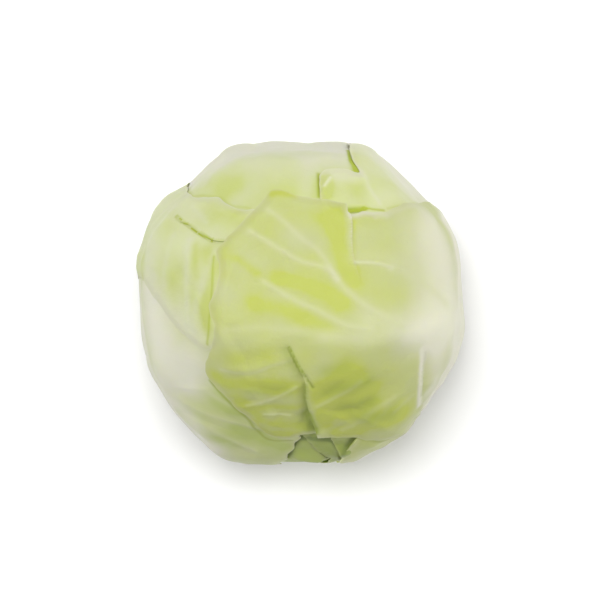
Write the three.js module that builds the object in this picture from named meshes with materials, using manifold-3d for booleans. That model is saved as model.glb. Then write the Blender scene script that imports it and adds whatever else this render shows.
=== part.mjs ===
// A white cabbage head standing on its cut stem, crown up.
// Units are millimetres, +Z is up, and the origin is in the middle of the stem's resting face.
//
// Every leaf is a blade cut from a flat sheet and wrapped over the head as one more layer. All layers
// share one net of directions from the middle of the head, so leaves nest closely and never cross.
import * as THREE from 'three';
import { mergeVertices } from 'three/addons/utils/BufferGeometryUtils.js';
import Module from 'manifold-3d';

const wasm = await Module();
wasm.setup();

// Driving dimensions.
const MIDDLE_HEIGHT = 72; // the middle of the head above the surface that it stands on
const BLADE = 1.2; // thickness of a leaf blade
const LEAF_GAP = 0.3; // clear space between a leaf and the next one out
const SUNK = 1.5; // depth of the closed inner leaves in the core that they grow from
const STEM_RADIUS = 17;
const STEM_NECK_RADIUS = 15.5;
const STEM_SIDES = 28;
const NET_DETAIL = 8; // each edge of the icosahedron is cut into one more than this
const MARGIN_STEP = 7; // spacing of the points along a leaf's edge
const BLANKET_FLAT = 13; // a leaf stays clear this far past the edge of a leaf below it
const BLANKET_END = 36; // and has come down to the next layer at this distance
const EDGE_WAVE = 1.4; // height of the waves along a leaf's edge
const EDGE_WAVELENGTH = 52;
const EDGE_REACH = 14; // and how far in from the edge they run
const RIB_TIP_HEIGHT = 0.15; // height of a rib at its tip, as a share of its height at the base
const RIB_TIP_WIDTH = 0.33; // and the same for its width
const TEAR_TIP_WIDTH = 0.35; // width of a tear at its tip, as a share of its width at the leaf's edge
const LIFT_RUN = 0.6; // share of a tear's length over which its lip comes up to full height
const WRAPPED = 6; // usual depth of the wrapper leaves on the closed head
const CHART_RADIUS = 80; // radius at which lengths on a flat leaf are true
const SHEET = 12; // height of the flat sheet that a leaf is cut from
const SHEET_BOW = 600; // the sheet is bowed: its rise is the squared distance over this
const SHEET_REACH = 200; // no leaf reaches further than this from its middle
const SHEET_MARGIN = 20; // the sheet runs this far past the leaf's outline
const CUTTER_HEIGHT = 480; // cutters pass right through the bowed sheet
const LEAF_ROUGHNESS = 0.55;

// The closed head is a rounded block. Each face: azimuth and elevation in degrees, then its distance
// from the middle of the head.
const ROUNDNESS = 28;
const FACES = [
  [80, 84, 72],
  [-1, 6, 81.5],
  [47, 8, 80.5],
  [91, 8, 81.5],
  [113, 8, 95.5],
  [135, 6, 84.5],
  [166, 6, 86.5],
  [183, 4, 83.5],
  [201, 4, 86],
  [225, 4, 87.5],
  [270, 4, 81],
  [295, 4, 80],
  [322, 6, 80],
  [10, 46, 84],
  [70, 42, 84],
  [130, 46, 84],
  [185, 44, 83],
  [228, 40, 80],
  [270, 39, 69],
  [312, 40, 79],
  [20, -44, 76],
  [80, -44, 75],
  [140, -44, 76],
  [200, -44, 75],
  [260, -44, 75],
  [320, -44, 75],
  [0, -90, 60],
].map(([azimuth, elevation, distance]) => ({
  normal: flank(azimuth, 90 - elevation),
  distance,
}));

// The direction from the middle of the head at an azimuth and a polar angle, 0 at the crown, 180 at the stem.
function flank(azimuth, polar) {
  const around = THREE.MathUtils.degToRad(azimuth);
  const down = THREE.MathUtils.degToRad(polar);
  return new THREE.Vector3(
    Math.sin(down) * Math.cos(around),
    Math.sin(down) * Math.sin(around),
    Math.cos(down),
  );
}

function headRadius(dir) {
  let sum = 0;
  for (const face of FACES) {
    const facing = face.normal.dot(dir);
    if (facing > 0) sum += (facing / face.distance) ** ROUNDNESS;
  }
  return sum ** (-1 / ROUNDNESS);
}

// The direction of the point of the wrapped head that lies at x, y when the head is seen from above.
function crown(x, y) {
  const azimuth = THREE.MathUtils.radToDeg(Math.atan2(y, x));
  const reach = Math.hypot(x, y);
  let low = 0;
  let high = 90;
  for (let step = 0; step < 30; step++) {
    const polar = (low + high) / 2;
    const dir = flank(azimuth, polar);
    const across = (headRadius(dir) + WRAPPED) * Math.sin(THREE.MathUtils.degToRad(polar));
    if (across < reach) low = polar;
    else high = polar;
  }
  return flank(azimuth, (low + high) / 2);
}

// A leaf's flat chart: lengths and angles from its middle are true, as on a leaf pressed flat.
function chartAround(middle) {
  const across = new THREE.Vector3(0, 0, 1).cross(middle).normalize();
  const along = new THREE.Vector3().crossVectors(middle, across);
  return (dir) => {
    const angle = Math.acos(THREE.MathUtils.clamp(dir.dot(middle), -1, 1));
    const stretch = angle < 1e-6 ? 1 : angle / Math.sin(angle);
    return new THREE.Vector2(dir.dot(across), dir.dot(along)).multiplyScalar(stretch * CHART_RADIUS);
  };
}

// The net of directions that every layer shares.
const net = mergeVertices(positionsOnly(new THREE.IcosahedronGeometry(1, NET_DETAIL)), 1e-5);
const netDirections = [];
const netTriangles = [];
for (let i = 0; i < net.attributes.position.count; i++) {
  netDirections.push(new THREE.Vector3().fromBufferAttribute(net.attributes.position, i).normalize());
}
for (let i = 0; i < net.index.count; i += 3) {
  netTriangles.push([net.index.getX(i), net.index.getX(i + 1), net.index.getX(i + 2)]);
}

function positionsOnly(geometry) {
  geometry.deleteAttribute('normal');
  geometry.deleteAttribute('uv');
  return geometry;
}

function toSolid(geometry) {
  const merged = mergeVertices(positionsOnly(geometry), 1e-5);
  return new wasm.Manifold(new wasm.Mesh({
    numProp: 3,
    vertProperties: new Float32Array(merged.attributes.position.array),
    triVerts: new Uint32Array(merged.index.array),
  }));
}

function toGeometry(solid) {
  const mesh = solid.getMesh();
  const geometry = new THREE.BufferGeometry();
  geometry.setAttribute('position', new THREE.BufferAttribute(new Float32Array(mesh.vertProperties), 3));
  geometry.setIndex(new THREE.BufferAttribute(new Uint32Array(mesh.triVerts), 1));
  return geometry;
}

// Distance of a chart point from a line, its side, and how far along the line its nearest point is.
function nearestOnLine(point, line) {
  let total = 0;
  let best = { distance: Infinity, along: 0, side: 1 };
  const segment = new THREE.Vector2();
  const offset = new THREE.Vector2();
  for (let i = 0; i + 1 < line.length; i++) {
    segment.subVectors(line[i + 1], line[i]);
    offset.subVectors(point, line[i]);
    const length = segment.length();
    const t = THREE.MathUtils.clamp(offset.dot(segment) / (length * length), 0, 1);
    const side = Math.sign(segment.cross(offset)) || 1;
    const distance = offset.addScaledVector(segment, -t).length();
    if (distance < best.distance) best = { distance, along: total + t * length, side };
    total += length;
  }
  return { ...best, fraction: best.along / total };
}

// Distance of a chart point outside a closed outline, negative inside it, and the way along the edge.
function nearEdge(point, outline) {
  let inside = false;
  for (let i = 0, j = outline.length - 1; i < outline.length; j = i++) {
    const a = outline[i];
    const b = outline[j];
    if ((a.y > point.y) !== (b.y > point.y)
      && point.x < ((b.x - a.x) * (point.y - a.y)) / (b.y - a.y) + a.x) inside = !inside;
  }
  const { distance, along } = nearestOnLine(point, [...outline, outline[0]]);
  return { outside: inside ? -distance : distance, along };
}

// The edge of a leaf as a smooth closed line on its chart.
function smoothOutline(points) {
  const curve = new THREE.CatmullRomCurve3(
    points.map((point) => new THREE.Vector3(point.x, point.y, 0)), true, 'centripetal',
  );
  const count = Math.round(curve.getLength() / MARGIN_STEP);
  return curve.getSpacedPoints(count).slice(0, count).map((point) => new THREE.Vector2(point.x, point.y));
}

function extrudedOutline(outline) {
  const options = { depth: CUTTER_HEIGHT, bevelEnabled: false };
  const geometry = new THREE.ExtrudeGeometry(new THREE.Shape(outline), options);
  return toSolid(geometry.translate(0, 0, -CUTTER_HEIGHT / 2));
}

// A tear is a narrow slit, closed at its tip and wider at the leaf's edge.
function slitOutline(line, width) {
  const left = [];
  const right = [];
  line.forEach((point, i) => {
    const ahead = line[Math.min(i + 1, line.length - 1)];
    const behind = line[Math.max(i - 1, 0)];
    const across = new THREE.Vector2(behind.y - ahead.y, ahead.x - behind.x).normalize();
    const half = (width / 2) * THREE.MathUtils.lerp(TEAR_TIP_WIDTH, 1, i / (line.length - 1));
    left.push(point.clone().addScaledVector(across, half));
    right.unshift(point.clone().addScaledVector(across, -half));
  });
  return [...left, ...right];
}

// A leaf's layer on the shared net: the radii of its inner and outer faces.
const head = netDirections.map(headRadius);
const laid = head.slice();

function layLeaf(leaf) {
  const chart = chartAround(leaf.middle);
  const outline = smoothOutline(leaf.outline.map(chart));
  const rib = leaf.rib.path.map(chart);
  const flat = netDirections.map(chart);
  const inner = [];
  const outer = [];
  flat.forEach((point, i) => {
    const { distance, fraction } = nearestOnLine(point, rib);
    const width = leaf.rib.width * THREE.MathUtils.lerp(1, RIB_TIP_WIDTH, fraction);
    const height = leaf.rib.height * THREE.MathUtils.lerp(1, RIB_TIP_HEIGHT, fraction);
    const thickness = BLADE + height * Math.exp(-((distance / width) ** 2));
    const { outside, along: round } = nearEdge(point, outline);
    const crest = 0.5 - 0.5 * Math.cos((2 * Math.PI * round) / EDGE_WAVELENGTH);
    const wave = EDGE_WAVE * crest * Math.exp(-((outside / EDGE_REACH) ** 2));
    inner.push(laid[i] + wave);
    outer.push(laid[i] + wave + thickness);
    const cover = 1 - THREE.MathUtils.smoothstep(outside, BLANKET_FLAT, BLANKET_END);
    laid[i] += (wave + thickness + LEAF_GAP) * cover;
  });
  return { leaf, chart, outline, flat, inner, outer };
}

// The flat, slightly bowed sheet that covers an outline, made of the shared net's triangles.
function sheetOver({ outline, flat }) {
  const onChart = flat.map((point) => point.length() < SHEET_REACH);
  const near = flat.map((point, i) => onChart[i] && nearEdge(point, outline).outside < SHEET_MARGIN);
  const used = netTriangles.filter((corners) => (
    corners.some((i) => near[i]) && corners.every((i) => onChart[i])
  ));
  const positions = [];
  const corner = (i, lift) => positions.push(flat[i].x, flat[i].y, bow(flat[i]) + lift);
  const edges = new Map();
  for (const [a, b, c] of used) {
    corner(a, SHEET);
    corner(b, SHEET);
    corner(c, SHEET);
    corner(a, 0);
    corner(c, 0);
    corner(b, 0);
    for (const [from, to] of [[a, b], [b, c], [c, a]]) edges.set(`${from} ${to}`, [from, to]);
  }
  for (const [from, to] of edges.values()) {
    if (edges.has(`${to} ${from}`)) continue;
    corner(from, SHEET);
    corner(from, 0);
    corner(to, 0);
    corner(from, SHEET);
    corner(to, 0);
    corner(to, SHEET);
  }
  const geometry = new THREE.BufferGeometry();
  geometry.setAttribute('position', new THREE.Float32BufferAttribute(positions, 3));
  return { sheet: toSolid(geometry), used };
}

function bow(point) {
  return point.lengthSq() / SHEET_BOW;
}

// Weights of a chart point in a triangle of the net, or null if it is outside it.
function weightsIn(point, [a, b, c]) {
  const area = (p, q, r) => (q.x - p.x) * (r.y - p.y) - (q.y - p.y) * (r.x - p.x);
  const whole = area(a, b, c);
  const weights = [area(point, b, c) / whole, area(a, point, c) / whole, area(a, b, point) / whole];
  return Math.min(...weights) > -1e-4 ? weights : null;
}

// Cuts a leaf from its sheet and wraps it on the head.
function wrapLeaf(layer) {
  const { sheet, used } = sheetOver(layer);
  let cut = sheet.intersect(extrudedOutline(layer.outline));
  const tears = (layer.leaf.tears ?? []).map((tear) => ({ ...tear, line: tear.path.map(layer.chart) }));
  for (const tear of tears) cut = cut.subtract(extrudedOutline(slitOutline(tear.line, tear.width)));
  const geometry = toGeometry(cut);
  const place = geometry.attributes.position;
  const point = new THREE.Vector2();
  const middle = new THREE.Vector3();
  for (let v = 0; v < place.count; v++) {
    point.set(place.getX(v), place.getY(v));
    const { corners, weights } = findTriangle(point, used, layer.flat);
    const rise = corners.reduce((sum, i, n) => sum + weights[n] * bow(layer.flat[i]), 0);
    const radii = place.getZ(v) - rise > SHEET / 2 ? layer.outer : layer.inner;
    middle.set(0, 0, MIDDLE_HEIGHT);
    corners.forEach((i, n) => middle.addScaledVector(netDirections[i], weights[n] * radii[i]));
    const outward = new THREE.Vector3(middle.x, middle.y, middle.z - MIDDLE_HEIGHT).normalize();
    middle.addScaledVector(outward, tearLift(point, tears));
    place.setXYZ(v, middle.x, middle.y, middle.z);
  }
  return geometry;
}

function findTriangle(point, used, flat) {
  for (const corners of used) {
    const weights = weightsIn(point, corners.map((i) => flat[i]));
    if (weights) return { corners, weights };
  }
  throw new Error(`no triangle under ${point.x}, ${point.y}`);
}

// One lip of a tear in the outermost leaf stands up from the head, on the side that the tear's sign gives.
function tearLift(point, tears) {
  let lift = 0;
  for (const tear of tears.filter(({ raised }) => raised)) {
    const { distance, fraction, side } = nearestOnLine(point, tear.line);
    if (side !== tear.raised || distance > tear.reach) continue;
    lift += tear.lift * Math.min(1, fraction / LIFT_RUN) * (1 - distance / tear.reach) ** 2;
  }
  return lift;
}

// The closed core: the net at the head's own radius.
function coreSolid() {
  const positions = [];
  netDirections.forEach((dir, i) => positions.push(
    dir.x * head[i], dir.y * head[i], dir.z * head[i] + MIDDLE_HEIGHT,
  ));
  const geometry = new THREE.BufferGeometry();
  geometry.setAttribute('position', new THREE.Float32BufferAttribute(positions, 3));
  geometry.setIndex(netTriangles.flat());
  return toSolid(geometry);
}

const cabbage = new THREE.Group();

function addNode(name, geometry, color, roughness = LEAF_ROUGHNESS) {
  const material = new THREE.MeshStandardMaterial({ color, roughness, metalness: 0 });
  const mesh = new THREE.Mesh(geometry, material);
  mesh.name = name;
  cabbage.add(mesh);
}

// The stem: cut square under the head, with its foot a little wider than its neck.
const stemLength = MIDDLE_HEIGHT - FACES.at(-1).distance - LEAF_GAP;
const stem = new THREE.CylinderGeometry(STEM_NECK_RADIUS, STEM_RADIUS, stemLength, STEM_SIDES);
stem.rotateX(Math.PI / 2).translate(0, 0, stemLength / 2);
addNode('stem', toGeometry(toSolid(stem)), 0xd9dcbc, 0.7);

// The closed inner head: three of its leaves show at the front, sunk into the core that they grow from.
const INNER_LEAVES = [
  {
    outline: [
      flank(255, 150), flank(244, 125), crown(-26, -76), crown(-20, -64), crown(-8, -56),
      crown(0, -58), crown(3.5, -71.7), crown(11.5, -79.7), crown(15.8, -82.4),
      flank(283, 105), flank(286, 130), flank(280, 152),
    ],
    middle: flank(266, 105),
    rib: { path: [flank(266, 150), flank(262, 110), crown(-6, -70)], height: 1.5, width: 9 },
  },
  {
    outline: [
      flank(282, 154), flank(273, 136), flank(274, 114), crown(15.8, -83.6), crown(11.5, -79.7),
      crown(3.5, -71.7), crown(-1.3, -62), crown(8, -54), crown(26, -58), crown(38, -70),
      flank(305, 110), flank(302, 145),
    ],
    middle: flank(292, 100),
    rib: { path: [flank(294, 150), flank(292, 110), crown(18, -66)], height: 1.5, width: 9 },
  },
  {
    outline: [
      flank(300, 154), flank(289, 138), flank(286, 116), crown(22.6, -81), crown(19.5, -76.5),
      crown(16.3, -71.2), crown(13, -62), crown(24, -54), crown(44, -60), flank(312, 96), flank(316, 140),
    ],
    middle: flank(302, 100),
    rib: { path: [flank(307, 150), flank(302, 110), crown(30, -64)], height: 1.5, width: 9 },
  },
];
let innerHead = coreSolid();
for (const leaf of INNER_LEAVES) {
  const layer = layLeaf(leaf);
  layer.inner = head.map((radius) => radius - SUNK);
  innerHead = innerHead.add(toSolid(wrapLeaf(layer)));
}
addNode('inner_head', toGeometry(innerHead), 0x9fad62);

// The wrapper leaves, from the innermost to the outermost.
const WRAPPER_LEAVES = [
  // Base at the lower right; its curled edge shows at the gap at the front.
  {
    name: 'lower_right_leaf',
    color: 0xb9c47c,
    outline: [
      flank(308, 161), flank(302, 147), flank(291, 125), flank(284.5, 104), crown(20.5, -84.5),
      crown(23.8, -78.1), crown(28.6, -71.7), crown(33, -62), crown(45, -49), crown(58, -41),
      crown(69, -38), flank(334, 95), flank(334, 130), flank(326, 161),
    ],
    middle: flank(312, 100),
    rib: { path: [flank(316, 161), flank(312, 120), flank(309, 95), crown(44, -58)], height: 3, width: 13 },
  },
  // White base at the left; the blade runs round to the gap at the front.
  {
    name: 'bottom_left_leaf',
    color: 0xd3d8b4,
    outline: [
      flank(178, 161), flank(163, 140), flank(158, 110), crown(-81, 26), crown(-70, 21), crown(-54, 7),
      crown(-40, -9), crown(-32, -23), crown(-24, -38), crown(-15, -54), crown(-5.6, -65),
      crown(-0.3, -71.2), crown(-2.9, -74.4), crown(-5, -79.2), crown(-7.2, -82),
      flank(262, 101), flank(256, 128), flank(240, 148), flank(208, 161),
    ],
    middle: flank(205, 95),
    rib: {
      path: [
        flank(193, 161), flank(194, 125), flank(197, 100), crown(-76, -36), crown(-62, -38), crown(-44, -37),
      ],
      height: 4.5,
      width: 16,
    },
  },
  // Whitish leaf along the back, its base behind the head.
  {
    name: 'top_leaf',
    color: 0xd6dac0,
    outline: [
      flank(88, 161), flank(68, 135), flank(62, 105), crown(40, 75), crown(34, 62), crown(21, 51),
      crown(5, 46), crown(-14, 42), crown(-32, 42), crown(-51, 47), crown(-65, 51),
      flank(146, 96), flank(140, 130), flank(120, 161),
    ],
    middle: flank(100, 95),
    rib: { path: [flank(103, 161), flank(100, 125), flank(98, 95), crown(-8, 62)], height: 4, width: 15 },
  },
  // Base at the upper right, with a wedge-shaped tear beside the leaf behind it.
  {
    name: 'top_right_leaf',
    color: 0xccd49c,
    outline: [
      flank(46, 161), flank(32, 135), flank(30, 100), crown(72, 42), crown(66, 34), crown(50, 31),
      crown(34, 34), crown(22, 41), crown(11, 47), crown(10.4, 57), crown(10.4, 68), crown(14, 71),
      crown(24, 71), crown(31, 70), crown(28, 77), crown(26.6, 84),
      flank(73, 100), flank(76, 130), flank(72, 161),
    ],
    middle: flank(56, 95),
    rib: { path: [flank(58, 161), flank(58, 125), flank(60, 95), crown(40, 56)], height: 3.5, width: 13 },
  },
  // Base at the upper left. A long slit parts its upper flap from the rest.
  {
    name: 'left_leaf',
    color: 0xc9d29d,
    outline: [
      flank(140, 161), flank(131, 130), flank(133, 98), crown(-60, 60), crown(-58, 57), crown(-50, 56),
      crown(-43, 56.2), crown(-39, 52.4), crown(-35, 50.3), crown(-25, 49.8), crown(-19, 42),
      crown(-22, 30), crown(-30, 20), crown(-34, 2), crown(-36, -12), crown(-42, -22.5), crown(-51, -24.6),
      crown(-56, -22), crown(-62, -17), crown(-73.6, -3.2), crown(-80.5, 7), crown(-84, 12),
      flank(171, 103), flank(170, 130), flank(164, 161),
    ],
    middle: flank(152, 90),
    rib: { path: [flank(152, 161), flank(151, 125), flank(150, 95), crown(-52, 18)], height: 3.5, width: 13 },
    tears: [
      {
        path: [
          crown(-67.1, 47.6), crown(-62.9, 42.8), crown(-55.4, 38), crown(-48.4, 34.2), crown(-39.3, 33.2),
          crown(-30, 33), crown(-18, 32),
        ],
        width: 1.2,
      },
    ],
  },
  // The outermost leaf: base at the right, its rib along the shoulder, and torn into four flaps.
  {
    name: 'torn_wrapper_leaf',
    color: 0xc6d086,
    outline: [
      flank(-28, 161), flank(-42, 140), flank(-45, 112), flank(-43, 96), crown(61.8, -62.6),
      flank(-50, 97), crown(42, -73.3), crown(28.6, -71.2), crown(15.8, -70.6),
      crown(4, -70), crown(-8.3, -71.2), crown(-16.3, -68), crown(-27, -60), crown(-38.3, -49.8),
      crown(-43, -45), crown(-47.9, -39), crown(-50, -33.2), crown(-47.3, -20.9), crown(-46.3, -11.8),
      crown(-47.3, -3.2), crown(-45.7, 7), crown(-43.6, 20.3), crown(-44.7, 27.3), crown(-39.3, 33.2),
      crown(-32.9, 41.2), crown(-24.9, 49.8), crown(-17.4, 57.2), crown(-13.6, 60.5), crown(-2.9, 57.8),
      crown(10.4, 54.6), crown(25.4, 52.4), crown(32, 50.3), crown(37.7, 50.3), crown(43.6, 49.8),
      crown(54.3, 52.4), crown(64, 53.5), flank(37, 94), flank(40, 115), flank(32, 145), flank(14, 161),
    ],
    middle: flank(-8, 55),
    rib: {
      path: [
        flank(-8, 161), flank(-8, 125), flank(-8, 100), crown(73, -11.5), crown(53, -19.3), crown(40, -22),
        crown(19.5, -22), crown(0, -21), crown(-11, -17), crown(-22, -16.6),
      ],
      height: 4.5,
      width: 16,
    },
    tears: [
      // between the middle flap and the right flap
      {
        path: [
          crown(34, 7), crown(31.3, 12.3), crown(28.6, 21.9), crown(27, 31), crown(27, 40),
          crown(26.5, 50), crown(26, 60),
        ],
        width: 1.4,
        lift: 1.5,
        reach: 14,
        raised: 1,
      },
      // between the two lower flaps
      {
        path: [
          crown(-7.2, -23), crown(-1.9, -32.6), crown(3, -40), crown(3.6, -47), crown(5.6, -60),
          crown(9, -68), crown(11, -80),
        ],
        width: 2,
        lift: 2.2,
        reach: 16,
        raised: 1,
      },
      // between the lower right flap and the leaf's base
      {
        path: [
          crown(66, -24), crown(64.5, -35.8), crown(63.4, -46.5), crown(62.4, -60), flank(-44.5, 96),
          flank(-45, 112), flank(-46, 125),
        ],
        width: 1.4,
        lift: 2.2,
        reach: 14,
        raised: -1,
      },
    ],
  },
];
for (const leaf of WRAPPER_LEAVES) addNode(leaf.name, wrapLeaf(layLeaf(leaf)), leaf.color);

export default cabbage;
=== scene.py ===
import math

import bmesh
import bpy
import numpy as np
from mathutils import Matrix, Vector


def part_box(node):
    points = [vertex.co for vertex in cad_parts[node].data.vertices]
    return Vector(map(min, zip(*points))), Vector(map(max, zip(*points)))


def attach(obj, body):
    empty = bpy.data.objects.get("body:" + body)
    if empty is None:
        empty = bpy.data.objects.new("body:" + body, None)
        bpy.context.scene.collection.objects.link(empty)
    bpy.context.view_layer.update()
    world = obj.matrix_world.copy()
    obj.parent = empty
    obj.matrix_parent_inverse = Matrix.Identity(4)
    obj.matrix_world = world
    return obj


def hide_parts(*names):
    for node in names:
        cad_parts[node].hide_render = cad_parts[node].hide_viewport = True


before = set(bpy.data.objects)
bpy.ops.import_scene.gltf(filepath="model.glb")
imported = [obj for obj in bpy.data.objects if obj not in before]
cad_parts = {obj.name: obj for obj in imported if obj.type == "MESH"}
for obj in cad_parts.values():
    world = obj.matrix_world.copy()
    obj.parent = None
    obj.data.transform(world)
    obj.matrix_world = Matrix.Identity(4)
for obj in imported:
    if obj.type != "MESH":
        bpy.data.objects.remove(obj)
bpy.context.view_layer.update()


# ---------------------------------------------------------------- stem
# The stem butt: pale solid plant flesh that carries every leaf. It was cut square with a knife, and the
# head stands on that cut. Rings of firmer fibres show in the cut face.

stem_low, stem_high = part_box("stem")
stem_radius = (stem_high.x - stem_low.x) / 2
stem_length = stem_high.z - stem_low.z
STEM_SIDES = 72
STEM_FOOT = 0.97  # radius at the cut, as a share of the stem's own,
STEM_NECK = 0.88  # and at the top
CUT_RIM = 0.0009  # roundness of the cut's rim, in metres
CUT_RINGS = (0.0012, 0.003, 0.004, 0.004)  # widths of the rings of faces in the cut, from the rim inwards
STEM_SWELLS = ((0.02, 3, 0.6), (0.012, 7, 0))  # height, number round the stem, and turn of its soft lobes
STEM_FLESH = (0.70, 0.69, 0.47, 1)
STEM_FIBRE = (0.50, 0.47, 0.26, 1)


def set_inputs(node, **values):
    """Sets a node's inputs, each named with underscores for its spaces."""
    for name, value in values.items():
        node.inputs[name.replace("_", " ")].default_value = value


def stem_finish():
    material = bpy.data.materials.new("cut stem")
    material.use_nodes = True
    nodes, links = material.node_tree.nodes, material.node_tree.links
    skin = nodes["Principled BSDF"]
    set_inputs(skin, Roughness=0.55, Subsurface_Weight=0.25, Subsurface_Radius=(0.004, 0.003, 0.001))
    place = nodes.new("ShaderNodeTexCoord")
    ring = nodes.new("ShaderNodeTexWave")
    ring.wave_type = "RINGS"
    ring.rings_direction = "Z"
    set_inputs(ring, Scale=55, Distortion=2.5, Detail=3)
    fibre = nodes.new("ShaderNodeMix")
    fibre.data_type = "RGBA"
    set_inputs(fibre, A=STEM_FLESH, B=STEM_FIBRE)
    grain = nodes.new("ShaderNodeTexNoise")
    set_inputs(grain, Scale=900)
    bump = nodes.new("ShaderNodeBump")
    set_inputs(bump, Strength=0.35, Distance=0.0006)
    links.new(place.outputs["Object"], ring.inputs["Vector"])
    links.new(place.outputs["Object"], grain.inputs["Vector"])
    links.new(ring.outputs["Fac"], fibre.inputs["Factor"])
    links.new(fibre.outputs["Result"], skin.inputs["Base Color"])
    links.new(grain.outputs["Fac"], bump.inputs["Height"])
    links.new(bump.outputs["Normal"], skin.inputs["Normal"])
    return material


def new_piece(name, mesh, material):
    """A finished piece of the head: smooth, at the origin, and riding on the head's one body."""
    mesh.shade_smooth()
    piece = bpy.data.objects.new(name, mesh)
    bpy.context.scene.collection.objects.link(piece)
    mesh.materials.append(material)
    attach(piece, "root")
    return piece


stem_mesh = bmesh.new()
bmesh.ops.create_cone(stem_mesh, cap_ends=True, segments=STEM_SIDES, radius1=stem_radius * STEM_FOOT,
                      radius2=stem_radius * STEM_NECK, depth=stem_length)
bmesh.ops.translate(stem_mesh, verts=stem_mesh.verts, vec=(0, 0, stem_length / 2))
caps = [face for face in stem_mesh.faces if len(face.verts) > 4]
for width in CUT_RINGS:
    bmesh.ops.inset_region(stem_mesh, faces=caps, thickness=width)
rim = [edge for edge in stem_mesh.edges if edge.calc_face_angle(0) > 1]
bmesh.ops.bevel(stem_mesh, geom=rim, offset=CUT_RIM, offset_type="OFFSET", affect="EDGES", segments=3,
                profile=0.5, material=-1)
for vert in stem_mesh.verts:
    around = math.atan2(vert.co.y, vert.co.x)
    swell = 1 + sum(height * math.sin(count * around + turn) for height, count, turn in STEM_SWELLS)
    vert.co.x *= swell
    vert.co.y *= swell
mesh = bpy.data.meshes.new("stem_butt")
stem_mesh.to_mesh(mesh)
stem_mesh.free()
stem_butt = new_piece("stem_butt", mesh, stem_finish())
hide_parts("stem")


# ---------------------------------------------------------------- inner head
# The closed heart of the cabbage: young leaves folded tightly over each other into one firm ball. Its
# green leaves show only through the gap at the front, where the wrapper leaves part.

MM = 0.001
MIDDLE = np.array([0.0, 0.0, 72.0])  # middle of the head; these sizes are all in millimetres
ROUNDNESS = 28  # the higher this power, the sharper the bends between the faces of the head
# Faces of the rounded block that gives the head its form: azimuth, elevation, and distance from the middle.
HEAD_FACES = (
    (80, 84, 72),
    (-2, 6, 83.8), (20, 8, 89), (48, 8, 82.9), (92, 8, 82.5), (113, 8, 98.6), (135, 6, 85.2),
    (166, 6, 89.5), (183, 4, 84.8), (201, 4, 86.1), (225, 4, 88.5), (270, 4, 83.7), (295, 4, 84.3),
    (323, 6, 83.4),
    (10, 46, 84.5), (70, 42, 84.5), (130, 46, 84.5), (185, 44, 83.5), (228, 40, 81), (270, 34, 71.5),
    (270, 66, 75.5), (312, 40, 80.5),
    (20, -44, 76), (80, -44, 75), (140, -44, 76), (200, -44, 75), (260, -44, 75), (320, -44, 75),
    (0, -90, 60),
)
CHART_RADIUS = 80.0  # radius of the head at which lengths on a flat leaf are true
NEARLY_NOTHING = 1e-6  # stands in for a length of nought, so that it can divide
BATCH = 8192  # points measured at a time, which spares memory


def flank(azimuth, polar):
    """A direction from the middle of the head; polar is 0 at the crown and 180 at the stem."""
    around, down = math.radians(azimuth), math.radians(polar)
    return np.array([math.sin(down) * math.cos(around), math.sin(down) * math.sin(around), math.cos(down)])


FACE_NORMALS = np.array([flank(azimuth, 90 - elevation) for azimuth, elevation, _ in HEAD_FACES])
FACE_DISTANCES = np.array([distance for _, _, distance in HEAD_FACES])


def head_radius(directions):
    facing = np.clip(directions @ FACE_NORMALS.T, 0, None) / FACE_DISTANCES
    return (facing ** ROUNDNESS).sum(axis=-1) ** (-1 / ROUNDNESS)


def leaf_chart(middle):
    """Two functions: directions laid flat round a leaf's middle, in millimetres, and back again."""
    across = np.cross([0, 0, 1], middle)
    across /= np.linalg.norm(across)
    along = np.cross(middle, across)

    def flatten(directions):
        angle = np.arccos(np.clip(directions @ middle, -1, 1))
        stretch = CHART_RADIUS * angle / np.maximum(np.sin(angle), NEARLY_NOTHING)
        return np.stack([(directions @ across) * stretch, (directions @ along) * stretch], axis=-1)

    def wrap(points):
        reach = np.maximum(np.linalg.norm(points, axis=-1, keepdims=True), NEARLY_NOTHING)
        angle = reach / CHART_RADIUS
        aside = (points[..., :1] * across + points[..., 1:] * along) / reach
        return middle * np.cos(angle) + aside * np.sin(angle)

    return flatten, wrap


def smooth_line(points, step, closed=False):
    """A Catmull-Rom line through the points, sampled about every step millimetres."""
    points = np.asarray(points, float)
    if closed:
        first, last = points[-1:], points[:2]
    else:
        first, last = 2 * points[:1] - points[1:2], 2 * points[-1:] - points[-2:-1]
    chain = np.concatenate([first, points, last])
    line = []
    for before, start, end, after in zip(chain, chain[1:], chain[2:], chain[3:]):
        spans = [np.linalg.norm(far - near) for near, far in ((before, start), (start, end), (end, after))]
        knots = np.cumsum([0] + [max(span, NEARLY_NOTHING) ** 0.5 for span in spans])
        count = max(1, round(np.linalg.norm(end - start) / step))
        way = np.linspace(knots[1], knots[2], count, endpoint=False)[:, None]

        def blend(near, far, low, high):
            return ((knots[high] - way) * near + (way - knots[low]) * far) / (knots[high] - knots[low])

        left, centre, right = blend(before, start, 0, 1), blend(start, end, 1, 2), blend(end, after, 2, 3)
        line.append(blend(blend(left, centre, 0, 2), blend(centre, right, 1, 3), 1, 2))
    if not closed:
        line.append(points[-1:])
    return np.concatenate(line)


def line_length(line):
    return np.linalg.norm(np.diff(line, axis=0), axis=1).sum()


def way_round(edge):
    return np.linalg.norm(edge - np.roll(edge, 1, 0), axis=1).sum()


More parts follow.
